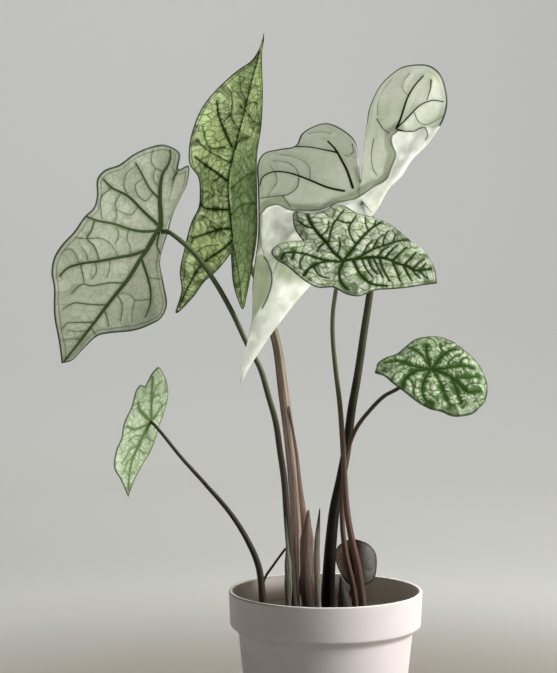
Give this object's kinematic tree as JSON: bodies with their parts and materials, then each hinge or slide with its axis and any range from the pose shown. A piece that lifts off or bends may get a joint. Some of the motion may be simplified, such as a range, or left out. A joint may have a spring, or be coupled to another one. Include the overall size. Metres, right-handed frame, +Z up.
{
  "type": "potted caladium",
  "caption": "Fancy-leaved aroid house plant with thin arrow-shaped leaves on long arching stalks, in a plain white flowerpot with a rim band.",
  "frame": {"origin": "middle of the pot's flat underside", "axes": "+Z up along the pot's axis, -Y towards the front of the plant, +X to the right seen from the front"},
  "size_m": [0.2932, 0.1651, 0.5139],
  "materials": {
    "pot_white": "satin",
    "potting_soil": "matte",
    "tuber_skin": "matte",
    "leaf_grey_green": "satin",
    "leaf_yellow_green": "satin",
    "leaf_white": "satin",
    "leaf_mint": "satin",
    "stalk_taupe": "satin",
    "stalk_dark": "satin",
    "stalk_red": "satin",
    "sheath_brown": "matte",
    "sheath_pale": "matte",
    "old_leaf": "matte"
  },
  "bodies": {
    "root": {"pot": "pot_white", "soil": "potting_soil", "tuber": "tuber_skin", "blade_left": "leaf_grey_green", "stalk_left": "stalk_taupe", "blade_upright": "leaf_yellow_green", "stalk_upright": "stalk_taupe", "blade_crown": "leaf_white", "stalk_crown": "stalk_dark", "blade_middle": "leaf_mint", "stalk_middle": "stalk_red", "blade_right": "leaf_mint", "stalk_right": "stalk_red", "blade_low": "leaf_mint", "stalk_low": "stalk_red", "old_leaf": "old_leaf", "spent_stalk": "stalk_dark", "sheath_brown": "sheath_brown", "sheath_pale": "sheath_pale", "sheath_left": "sheath_pale", "sheath_short": "old_leaf"}
  },
  "joints": []
}
